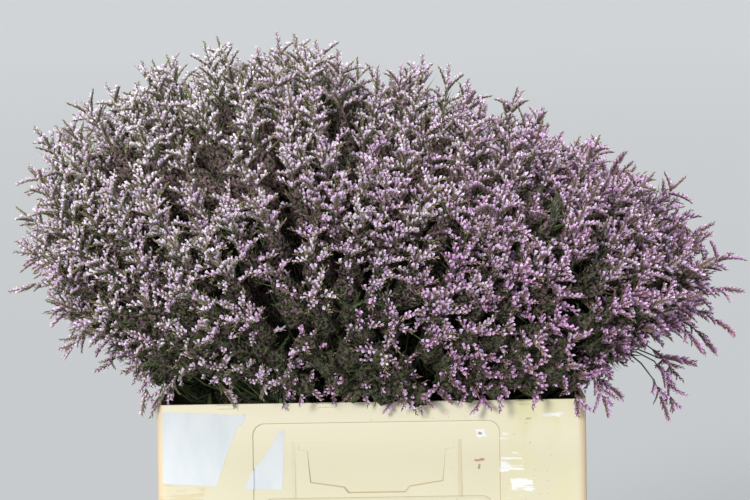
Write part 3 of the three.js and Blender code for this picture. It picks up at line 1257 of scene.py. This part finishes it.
@dataclass
class FloweringStem:
    """One stem with its twigs and their spikes, made as one piece."""

    cell: Cell
    number: int
    kit: SpikeKit
    stem_radius: float = 2.4
    twig_radius: float = 0.85
    sprays: Sequence[Spray] = ()
    spikes: int = 11
    spike_pitch: float = 4.1
    buds: int = 2
    needles: int = 14
    fork: Span = (0.28, 0.42)
    ragged: Span = (0.955, 1.04)
    bare_end: Span = (17, 25)
    top_size: Span = (0.82, 0.95)
    spike_size: Span = (0.88, 1.14)
    spike_angle: Span = (22, 62)
    bud_angle: Span = (20, 40)
    spray_pitch: Span = (5.2, 7.2)
    spray_size: Span = (0.72, 0.95)
    spray_angle: Span = (18, 42)
    needle_zone: Span = (40, 110)
    needle_length: Span = (20, 32)
    needle_radius: Span = (0.8, 1.3)
    green_share: float = 0.05
    greener_share: float = 0.3
    leafy_share: float = 0.22
    highest_green: float = 610
    grown: Cluster = field(default_factory=Cluster)

    @property
    def name(self) -> str:
        """The CAD node that the piece stands for."""
        return f"statice_stem_{self.number + 1:02d}"

    def plume(self, column: Column, draw: Draw, stem_tint: float) -> Cluster:
        """Grows a plume: a twig from the stem up its column, with spikes along its last part.

        Args:
            column: Where it rises.
            draw: The plume's stream.
            stem_tint: The stem's place across the colour map.

        Returns:
            The plume.
        """
        grown = Cluster()
        outer = self.cell.at(column.right, column.away, 1)
        thin = thinness(outer)
        ragged = stem_reach(self.number) * draw.between(*self.ragged)
        green = draw.next() < self._green_share(outer)
        if green:
            ragged *= 0.92
        tip = settled(self.cell.at(column.right, column.away, column.reach * ragged))
        fork = draw.between(*self.fork)
        axis = [self.cell.at(0, 0, rise) for rise in (fork, 0.5, 0.62)]
        rising = [settled(self.cell.at(column.right, column.away, rise)) for rise in (0.5, 0.62, 0.72, 0.8)]
        joined = axis[1].lerp(rising[0], 0.4), axis[2].lerp(rising[1], 0.8)
        whole = Polyline([axis[0], *joined, *rising[2:], tip])
        end_length = draw.between(*self.bare_end)
        end, along = whole.at(whole.length - end_length)
        radii = [self.twig_radius * share for share in (1.5, 1.35, 1.2, 1.1, 1, 0.8)]
        grown.stalk([*whole.points[:-1], end], radii, tint=stem_tint)

        tint = self._tint_at(tip) + draw.between(-0.17, 0.17)
        top = SpikeKind.GREEN if green else (SpikeKind.BUDDING if draw.next() < 0.3 else SpikeKind.FLOWERING)
        place = axes_matrix(any_side(along), along, end, draw.between(*self.top_size))
        grown.stamp(draw.pick(self.kit.meshes[top]), place, tint)
        turned = draw.between(0, 2 * math.pi)
        count = round(self.spikes * (1 - 0.32 * thin)) + (3 if green else 0)
        for i in range(count + self.buds):
            budding = i >= count
            distance = whole.length - end_length - 1 - i * self.spike_pitch * draw.between(0.85, 1.1)
            at, along = whole.at(distance)
            turned += GOLDEN_TURN + draw.between(-0.5, 0.5)
            outward = round_about(along, turned)
            angle = math.radians(draw.between(*(self.bud_angle if green or budding else self.spike_angle)))
            leaving = along * math.cos(angle) + outward * math.sin(angle) + UP * 0.12
            arching = outward * math.cos(angle) - along * math.sin(angle) - UP * 0.3
            kind = SpikeKind.GREEN if green else (SpikeKind.BUDDING if budding else SpikeKind.FLOWERING)
            place = axes_matrix(arching, leaving, at - along * 0.3, draw.between(*self.spike_size))
            grown.stamp(draw.pick(self.kit.meshes[kind]), place, tint + draw.between(-0.14, 0.14))
        self.branchlets(grown, whole, draw, tint)
        return grown

    def spray(self, spray: Spray, draw: Draw, tint: float) -> Cluster:
        """Grows a stray spray: a thin twig out of the bunch with spikes in two ranks.

        Args:
            spray: Where it goes.
            draw: The stem's stream.
            tint: The stem's place across the colour map.

        Returns:
            The spray.
        """
        grown = Cluster()
        start, over, end = self.cell.at(0, 0, spray.leaving), Vector(spray.over), Vector(spray.end)
        bend = start.lerp(over, 0.6) + UP * 6
        turn = over.lerp(end, 0.45) + (over - start).normalized() * 5
        whole = Polyline([start, bend, over, turn, end])
        grown.stalk(whole.points, [1.15, 1.0, 0.85, 0.65, 0.4], tint=tint)
        place = axes_matrix(any_side(end - turn), end - turn, end - (end - turn).normalized() * 2)
        grown.stamp(draw.pick(self.kit.meshes[SpikeKind.FLOWERING]), place, tint)
        for i in range(spray.spikes):
            at, along = whole.at(whole.length - 3 - i * draw.between(*self.spray_pitch))
            across = along.cross(UP).normalized() * (1 if i % 2 else -1)
            outward = (across + along.cross(across) * draw.between(-0.6, 0.6)).normalized()
            angle = math.radians(draw.between(*self.spray_angle))
            leaving = along * math.cos(angle) + outward * math.sin(angle)
            arching = outward * math.cos(angle) * 0.6 - along * math.sin(angle) - UP * 0.5 + AWAY * 0.4
            kind = SpikeKind.FLOWERING if draw.next() < 0.75 else SpikeKind.BUDDING
            place = axes_matrix(arching, leaving, at, draw.between(*self.spray_size))
            grown.stamp(draw.pick(self.kit.meshes[kind]), place, tint + draw.between(-0.1, 0.1))
        return grown

    def _green_share(self, tip: Vector) -> float:
        """How many of the plumes that end there bear leaves alone: more low on the bunch's left.

        Args:
            tip: Where they end.

        Returns:
            The share of them.
        """
        if tip.z >= self.highest_green:
            return 0.0
        low_left = part_way(tip.z, 450, 390) * part_way(tip.x, -20, -80)
        return max(self.green_share if self.number % 6 else self.greener_share, self.leafy_share * low_left)

    def branchlets(self, onto: Cluster, twig: Polyline, draw: Draw, tint: float) -> None:
        """Adds the bare branchlets that fill the plume below its spikes.

        Args:
            onto: The plume.
            twig: The twig that they leave.
            draw: The plume's stream.
            tint: The plume's place across the colour map.
        """
        for _ in range(self.needles):
            at, along = twig.at(twig.length - draw.between(*self.needle_zone))
            outward = round_about(along, draw.between(0, 2 * math.pi))
            aim = along + outward * draw.between(0.4, 0.9)
            length, radius = draw.between(*self.needle_length), draw.between(*self.needle_radius)
            place = axes_matrix(outward, aim, at) @ Matrix.Diagonal((radius, radius, length, 1))
            onto.stamp(self.kit.branchlet, place, tint + draw.between(-0.2, 0.2))

    def build(self, material: Material) -> Object:
        """Builds the stem as one piece.

        Args:
            material: Its finish.

        Returns:
            The piece.
        """
        draw = Draw(self.number + 501)
        path = [self.cell.foot(), *(self.cell.at(0, 0, rise) for rise in (0, 0.12, 0.24, 0.36))]
        stem_tint = self._tint_at(self.cell.at(0, 0, 1))
        radii = [self.stem_radius * share for share in (1, 0.95, 0.9, 0.8, 0.7)]
        self.grown.stalk(path, radii, 6, stem_tint)
        for column in plume_columns(self.cell, self.number):
            self.grown.take(self.plume(column, draw, stem_tint))
        for spray in self.sprays:
            self.grown.take(self.spray(spray, draw, stem_tint))
        self._low_twigs(stem_tint)
        piece = finish_piece(f"dressed_{self.name}", self.grown.bm, material, [self.name])
        self._tint(piece.data)
        return piece

    def _low_twigs(self, tint: float) -> None:
        """Adds the thin bare twigs that part low on the stem and show in the gap above the crate's rim.

        Args:
            tint: The stem's place across the colour map.
        """
        draw = Draw(self.number + 901)
        for column in plume_columns(self.cell, self.number):
            start = self.cell.on_stem(draw.between(-0.1, 0.02))
            end = settled(self.cell.at(column.right, column.away, 0.6))
            spread = self.cell.at(column.right, column.away, 0.5) - self.cell.at(0, 0, 0.5)
            knee = start.lerp(end, 0.45) + spread.normalized() * draw.between(8, 26)
            self.grown.stalk([start, knee, end], [1.1, 0.9, 0.6], tint=tint + draw.between(-0.1, 0.1))

    @staticmethod
    def _tint_at(point: Vector) -> float:
        """The tint at a point: paler on the bunch's left and top, and pinker on its right and below."""
        left, right, level, fall = 0.26, 0.66, 500, 0.0013
        return mix(left, right, part_way(point.x, -160, 180)) + (level - point.z) * fall

    def _tint(self, mesh: Mesh) -> None:
        """Moves each copy's part of the colour map to its own tint.

        Args:
            mesh: The finished stem's mesh.
        """
        layer = mesh.uv_layers[COLOUR_MAP].uv
        places = np.empty(len(mesh.loops) * 2, np.float32)
        layer.foreach_get("vector", places)
        counts, tints = zip(*self.grown.tints)
        places[0::2] = np.clip(places[0::2] + np.repeat(np.array(tints, np.float32), counts), 0.01, 0.985)
        layer.foreach_set("vector", places)


@dataclass
class InnerGrowth:
    """The dense growth of leaves and twigs inside the bunch, seen only between the plumes, its finish painted
    dark as shade.
    """

    cells: Sequence[Cell]
    sides: int = 5
    reach: float = 0.89
    low_reach: float = 0.12
    fullness: float = 1.3
    sheath: Profile = ((-0.04, 3), (0.06, 13), (0.24, 19), (0.44, 17), (0.58, 4))
    # Painted shade: the lower sheath reaches down into the gap above the rim, a dark mass where the bunch
    # shows only shade.
    shade_fill_sheath: Profile = ((-0.2, 4), (-0.08, 15), (0.24, 19), (0.44, 17), (0.58, 4))
    shade_fill_band: float = 60
    core: float = 0.72
    core_share: float = 1.9
    thin_share: float = 0.8
    thin_drop: float = 1.3
    skirt_share: float = 0.85

    def build(self, material: Material) -> Object:
        """Builds one slim tuft under every plume, all in one piece.

        Args:
            material: Its finish.

        Returns:
            The piece.
        """
        whole = Cluster()
        for number, cell in enumerate(self.cells):
            grown = Cluster()
            # Middle rows take the lower sheath, a dark mass of painted shade in the gap above the rim.
            shade_filled = abs(cell.at(0, 0, 0).y) < self.shade_fill_band
            rises, radii = zip(*(self.shade_fill_sheath if shade_filled else self.sheath))
            core = self.core_share if cell.out < self.core else 1
            axis = [cell.on_stem(rise) for rise in rises]
            radii = [core * radius * self._kept(at) for radius, at in zip(radii, axis)]
            grown.stalk(axis, radii, self.sides)
            for column in plume_columns(cell, number):
                axis = [cell.at(0, 0, rise) for rise in (0.36, 0.54)]
                outer = cell.at(column.right, column.away, 1)
                thin = thinness(outer)
                held_back = self.low_reach * (part_way(outer.z, 390, 340) + self.thin_drop * thin)
                rises = (0.54, 0.66, 0.74, (self.reach - held_back) * column.reach * stem_reach(number))
                rising = [settled(cell.at(column.right, column.away, rise)) for rise in rises]
                wide = self.fullness * column.radius * (1 - self.thin_share * thin)
                shares = zip((0.5, 1, 0.85, 0.1), rising)
                radii = [0.8, *(share * wide * self._kept(at) for share, at in shares)]
                grown.stalk([axis[0], axis[1].lerp(rising[0], 0.6), *rising[1:]], radii, self.sides)
            whole.take(grown)
        return finish_piece("inner_growth", whole.bm, material)

    def _kept(self, point: Vector) -> float:
        """How much of its radius a tuft keeps: less at the bunch's open lower corners, where it shows."""
        return 1 - self.skirt_share * (part_way(point.z, 390, 362) * part_way(abs(point.x), 200, 225))


# ---- Crate ----------------------------------------------------------------------------------


@dataclass
class Crate:
    """The deep flower crate: an open box with round corners and low relief on its four walls."""

    width: float = 400
    depth: float = 300
    height: float = 330
    wall: float = 4
    floor: float = 5
    corner: float = 8
    relief_middle: float = 4.2
    panel: Triple = (116, 17.6, 290)
    panel_corner: float = 11
    panel_depth: float = 1.3
    recess: Triple = (109.5, 87.9, 284)
    recess_depth: float = 3.3
    grip: Profile = ((74.9, 37), (74.6, 44), (66.4, 45.3), (63.4, 76), (32.3, 81), (28.1, 86.3))
    grip_depth: float = 2.1
    rib: Triple = (77.5, 36, 89)
    rib_size: Span = (3.4, 0.9)
    lugs: tuple[float, ...] = (-136, -42, 50, 143.5)
    lug_size: Triple = (18, 3.2, 2.4)
    lug_drop: float = 0.7
    side_share: float = 0.68
    draft: float = 1.6
    grip_draft: float = 2.3
    edge_width: float = 0.6
    sheet_gap: float = 0.2

    @property
    def sheet_bend(self) -> float:
        """Where a sheet that crosses the panel's left edge bends, clear of the edge's slope."""
        return self.relief_middle - self.panel[0] + self.draft + self.sheet_gap

    def build(self, material: Material) -> Object:
        """Builds the crate as one piece.

        Args:
            material: Its finish.

        Returns:
            The piece.
        """
        piece = in_scene("tool", as_mesh(self._shell(), "tool"))
        for wall in self._walls():
            cutters = [self._panel(self.panel, self.panel_depth), self._panel(self.recess, self.recess_depth),
                       self._grip()]
            relief = [(cutter, "DIFFERENCE") for cutter in cutters] + [(rib, "UNION") for rib in self._ribs()]
            for shape, how in relief:
                bmesh.ops.transform(shape, matrix=wall, verts=list(shape.verts))
                self._join(piece, shape, how)
        for added in self._lugs():
            self._join(piece, added, "UNION")
        bm = bmesh.new()
        bm.from_mesh(piece.data)
        bpy.data.objects.remove(piece)
        bmesh.ops.remove_doubles(bm, verts=list(bm.verts), dist=0.01)
        sharp = [edge for edge in bm.edges if edge.is_manifold and edge.calc_face_angle(0) > math.radians(32)]
        self._round(bm, sharp, self.edge_width, 2, clamp=True)
        self._paint_relief_shade(bm)
        return finish_piece("dressed_crate", bm, material, ["crate"])

    @staticmethod
    def _block(middle: Triple, size: Triple) -> BMesh:
        """A block by its middle and its size."""
        bm = bmesh.new()
        bmesh.ops.create_cube(bm, size=1, matrix=Matrix.Translation(middle) @ Matrix.Diagonal((*size, 1)))
        return bm

    @staticmethod
    def _edges_along(bm: BMesh, axis: int, least: float) -> list[BMEdge]:
        """The edges that run further than a distance along an axis."""
        return [edge for edge in bm.edges if abs(edge.verts[0].co[axis] - edge.verts[1].co[axis]) > least]

    @staticmethod
    def _round(bm: BMesh, edges: list[BMEdge], offset: float, segments: int, clamp: bool = False) -> None:
        """Rounds edges.

        Args:
            bm: The shape.
            edges: Its edges to be rounded.
            offset: How far in the rounding starts.
            segments: How many faces it has.
            clamp: Whether it is held back where two would meet.
        """
        bmesh.ops.bevel(bm, geom=edges, offset=offset, offset_type="OFFSET", affect="EDGES",
                        segments=segments, profile=0.5, material=-1, clamp_overlap=clamp)

    def _walls(self) -> list[Matrix]:
        """The places of the four walls' relief, which is drawn for the front.

        Returns:
            The front's place, the back's and those of the sides, where it is narrower.
        """
        walls = [Matrix(), Matrix.Rotation(math.pi, 4, "Z")]
        further = Matrix.Translation((0, (self.depth - self.width) / 2, 0))
        narrower = Matrix.Diagonal((self.side_share, 1, 1, 1))
        for turn in (math.pi / 2, -math.pi / 2):
            walls.append(Matrix.Rotation(turn, 4, "Z") @ further @ narrower)
        return walls

    def _paint_relief_shade(self, bm: BMesh) -> None:
        """Marks the narrow faces that edge the relief for a tan of painted shade, the shading lines along its
        edges.

        Args:
            bm: The crate.
        """
        reach, off_corner, facing, sloped, off_floor, off_rim = 5, 14, 0.93, 0.3, 8, 1.2
        # Painted shade: how much tan each edge face takes, more where it is turned up or to the left, towards
        # the lights, and more on the right rib than the left.
        shade_towards_lights, shade_away_from_lights, right_rib_shade, left_rib_shade = 1.0, 0.7, 0.5, 0.2
        bm.normal_update()
        layer = bm.faces.layers.float.new(RELIEF_SHADE)
        half = Vector((self.width / 2, self.depth / 2))
        rib_middle = self.height - (self.rib[1] + self.rib[2]) / 2
        rib_half = (self.rib[2] - self.rib[1]) / 2 + 1
        for face in bm.faces:
            at, normal = face.calc_center_median(), face.normal
            for across, along in ((1, 0), (0, 1)):
                near = half[across] - abs(at[across]) < reach and abs(at[along]) < half[along] - off_corner
                if near and abs(normal[across]) < facing and off_floor < at.z < self.height - off_rim:
                    face[layer] = shade_towards_lights if normal.z > sloped or normal.x < -sloped else shade_away_from_lights
            beside = abs(abs(at.x - self.relief_middle) - self.rib[0])
            if at.y < -half.y + 2 and beside < self.rib_size[0] / 2 and abs(at.z - rib_middle) < rib_half:
                face[layer] = right_rib_shade if at.x > 0 else left_rib_shade

    def _shell(self) -> BMesh:
        """Builds the plain box with its round corners and its hollow.

        Returns:
            The box.
        """
        bm = self._block((0, 0, self.height / 2), (self.width, self.depth, self.height))
        self._round(bm, self._edges_along(bm, 2, 1), self.corner, 5)
        top = [face for face in bm.faces if face.normal.z > 0.9]
        bmesh.ops.inset_region(bm, faces=top, thickness=self.wall, use_even_offset=True)
        hollow = bmesh.ops.extrude_discrete_faces(bm, faces=top)["faces"]
        corners = list({vert for face in hollow for vert in face.verts})
        bmesh.ops.translate(bm, verts=corners, vec=(0, 0, self.floor - self.height))
        bmesh.ops.recalc_face_normals(bm, faces=list(bm.faces))
        return bm

    def _panel(self, panel: Triple, depth: float) -> BMesh:
        """Builds the cutter for a panel with round corners and sloped edges.

        Args:
            panel: Half its width, and how far its top and its bottom are below the rim.
            depth: How deep it goes in.

        Returns:
            The cutter.
        """
        half, top, bottom = panel
        middle = Vector((self.relief_middle, -self.depth / 2, self.height - (top + bottom) / 2))
        bm = self._block(middle, (2 * half, 2 * depth, bottom - top))
        self._round(bm, self._edges_along(bm, 1, depth), self.panel_corner, 6)
        for vert in (vert for vert in bm.verts if vert.co.y > middle.y):
            vert.co.x -= math.copysign(self.draft, vert.co.x - middle.x)
            vert.co.z -= math.copysign(self.draft, vert.co.z - middle.z)
        return bm

    def _grip(self) -> BMesh:
        """Builds the cutter under the stepped grip.

        Returns:
            The cutter, which goes in deeper towards its foot.
        """
        outline = [(-x, down) for x, down in self.grip] + [(x, down) for x, down in reversed(self.grip)]
        bm = bmesh.new()
        front = -self.depth / 2 - 1
        verts = [bm.verts.new((x + self.relief_middle, front, self.height - down)) for x, down in outline]
        face = bm.faces.new(verts)
        back = bmesh.ops.extrude_face_region(bm, geom=[face])["geom"]
        top, foot = self.grip[0][1], self.grip[-1][1]
        for vert in (item for item in back if isinstance(item, BMVert)):
            share = (self.height - vert.co.z - top) / (foot - top)
            vert.co.y = -self.depth / 2 + self.panel_depth + mix(0.05, self.grip_depth, share)
            vert.co.x -= math.copysign(self.grip_draft, vert.co.x - self.relief_middle)
            vert.co.z += self.grip_draft * share
        bmesh.ops.recalc_face_normals(bm, faces=list(bm.faces))
        return bm

    def _ribs(self) -> list[BMesh]:
        """Builds the two upright ribs beside the grip.

        Returns:
            The ribs, which stand out more towards their feet.
        """
        ribs = []
        half, top, bottom = self.rib
        width, proud = self.rib_size
        wall = -self.depth / 2 + self.panel_depth
        for side in (-1, 1):
            middle = self.relief_middle + side * half, wall, self.height - (top + bottom) / 2
            bm = self._block(middle, (width, 2 * proud, bottom - top))
            high = [vert for vert in bm.verts if vert.co.z > self.height - top - 1 and vert.co.y < wall]
            bmesh.ops.translate(bm, verts=high, vec=(0, proud * 0.9, 0))
            ribs.append(bm)
        return ribs

    def _lugs(self) -> list[BMesh]:
        """Builds the small bars under the front rim.

        Returns:
            The bars.
        """
        lugs = []
        width, height, proud = self.lug_size
        for x in self.lugs:
            middle = x, -self.depth / 2, self.height - self.lug_drop - height / 2
            bm = self._block(middle, (width, 2 * proud, height))
            self._round(bm, self._edges_along(bm, 1, 1), height * 0.4, 2)
            lugs.append(bm)
        return lugs

    def _join(self, piece: Object, bm: BMesh, how: str) -> None:
        """Cuts a mesh out of a piece, or joins it on.

        Args:
            piece: The piece that changes.
            bm: The other mesh.
            how: "DIFFERENCE" or "UNION".
        """
        tool = in_scene("tool", as_mesh(bm, "tool"))
        modifier = piece.modifiers.new("join", "BOOLEAN")
        modifier.operation, modifier.solver, modifier.object = how, "EXACT", tool
        bpy.context.view_layer.update()
        done = piece.evaluated_get(bpy.context.evaluated_depsgraph_get())
        mesh = bpy.data.meshes.new_from_object(done)
        piece.modifiers.clear()
        piece.data = mesh
        bpy.data.objects.remove(tool)


@dataclass
class Label:
    """What is left of a bare paper label: a thin sheet cut to an outline on the front wall."""

    name: str
    outline: Profile
    crate: Crate
    thickness: float = 0.16
    proud: float = 0.06
    half_step: float = 0.8
    step_at: float | None = None

    def build(self, material: Material) -> Object:
        """Builds the label.

        Args:
            material: Its finish.

        Returns:
            The piece.
        """
        bm = bmesh.new()
        front = -self.crate.depth / 2 - self.proud
        verts = [bm.verts.new((x, front, self.crate.height - down)) for x, down in self.outline]
        face = bm.faces.new(verts)
        if face.normal.y > 0:
            face.normal_flip()
        if self.step_at is not None:
            for edge_x in (self.step_at - self.half_step, self.step_at + self.half_step):
                geom = [*bm.verts, *bm.edges, *bm.faces]
                bmesh.ops.bisect_plane(bm, geom=geom, plane_co=(edge_x, 0, 0), plane_no=(1, 0, 0))
            sunk = [vert for vert in bm.verts if vert.co.x > self.step_at]
            bmesh.ops.translate(bm, verts=sunk, vec=(0, self.crate.panel_depth, 0))
        bm.normal_update()
        bmesh.ops.solidify(bm, geom=list(bm.faces), thickness=self.thickness)
        bmesh.ops.recalc_face_normals(bm, faces=list(bm.faces))
        return finish_piece(self.name, bm, material)


LARGE_LABEL: Profile = ((-194.3, 6.2), (-116.7, 10.4), (-118.7, 18.4), (-124, 20.2), (-134.5, 44.8),
                        (-145, 76.8), (-195, 73.5))
TORN_LABEL: Profile = ((-81.2, 24.5), (-83.9, 80.9), (-118.7, 79.7), (-112.2, 63.4), (-100.4, 50.4),
                       (-85.8, 26.4))


# ---- Studio ---------------------------------------------------------------------------------


@dataclass
class Studio:
    """A wide pale floor under a sky of the same tone, two soft lights and the camera."""

    floor_radius: float = 90.0
    camera_at: Triple = (0.0, -4.35, 0.757)
    camera_aim: Triple = (0.006, 0.0, 0.4615)
    camera_roll: float = 0.9
    lens: float = 217.8
    key: Linear = (-20.0, 13.0, 2.45, 12.0)
    top: Linear = (-28.0, 68.0, 1.95, 30.0)
    sky: Colour = (198, 202, 206)

    def build(self, material: Material) -> None:
        """Builds the floor, the lights and the camera.

        Args:
            material: The floor's finish.
        """
        self._floor(material)
        self._sun("key", *self.key)
        self._sun("top", *self.top)
        world = bpy.data.worlds.new("sky")
        world.use_nodes = True
        world.node_tree.nodes["Background"].inputs[0].default_value = linear(*self.sky)
        scene = bpy.context.scene
        scene.world = world
        scene.view_settings.view_transform = "Standard"
        scene.camera = self._camera()

    def _floor(self, material: Material) -> None:
        """Builds the floor, which is all that the camera sees behind the object.

        Args:
            material: Its finish.
        """
        bm = bmesh.new()
        bmesh.ops.create_circle(bm, cap_ends=True, segments=96, radius=self.floor_radius)
        floor = in_scene("studio_floor", as_mesh(bm, "studio_floor"))
        floor.data.materials.append(material)

    @staticmethod
    def _sun(name: str, azimuth: float, elevation: float, strength: float, softness: float) -> None:
        """Adds a distant light.

        Args:
            name: Its name.
            azimuth: Where it stands, in degrees from the front towards the right.
            elevation: How high it stands, in degrees.
            strength: Its power.
            softness: How wide it looks, in degrees.
        """
        light = bpy.data.lights.new(name, "SUN")
        light.energy = strength
        light.angle = math.radians(softness)
        sun = in_scene(name, light)
        turn, rise = math.radians(azimuth), math.radians(elevation)
        back = Vector((math.sin(turn) * math.cos(rise), -math.cos(turn) * math.cos(rise), math.sin(rise)))
        sun.rotation_euler = back.to_track_quat("Z", "Y").to_euler()

    def _camera(self) -> Object:
        """Adds the camera, at the photograph's angle.

        Returns:
            The camera.
        """
        data = bpy.data.cameras.new("camera")
        data.lens = self.lens
        data.sensor_width = 36
        data.clip_end = 2 * self.floor_radius
        camera = in_scene("camera", data)
        aim = Vector(self.camera_aim) - Vector(self.camera_at)
        turned = aim.to_track_quat("-Z", "Y").to_matrix().to_4x4()
        roll = Matrix.Rotation(math.radians(-self.camera_roll), 4, "Z")
        camera.matrix_world = Matrix.Translation(self.camera_at) @ turned @ roll
        return camera


def main() -> None:
    """Builds the studio, the crate with its labels and the stems, in that order."""
    logging.basicConfig(level=logging.INFO, format="%(name)s %(message)s")
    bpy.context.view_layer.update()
    Studio().build(StudioFinish().make())
    crate = Crate()
    crate.build(PlasticFinish().make())
    paper = PaperFinish().make()
    Label("label_large", LARGE_LABEL, crate).build(paper)
    Label("label_torn", TORN_LABEL, crate, step_at=crate.sheet_bend).build(paper)

    cells = stem_cells(Canopy())
    InnerGrowth(cells).build(GrowthFinish().make())
    statice = StaticeFinish().make()
    kit = SpikeKit()
    sprays: dict[int, list[Spray]] = {}
    for spray in STRAY_SPRAYS:
        sprays.setdefault(spray.stem(cells), []).append(spray)
    for number, cell in enumerate(cells):
        FloweringStem(cell, number, kit, sprays=sprays.get(number, ())).build(statice)
    kit.free()

    bpy.context.view_layer.update()


if __name__ == "__main__":
    main()
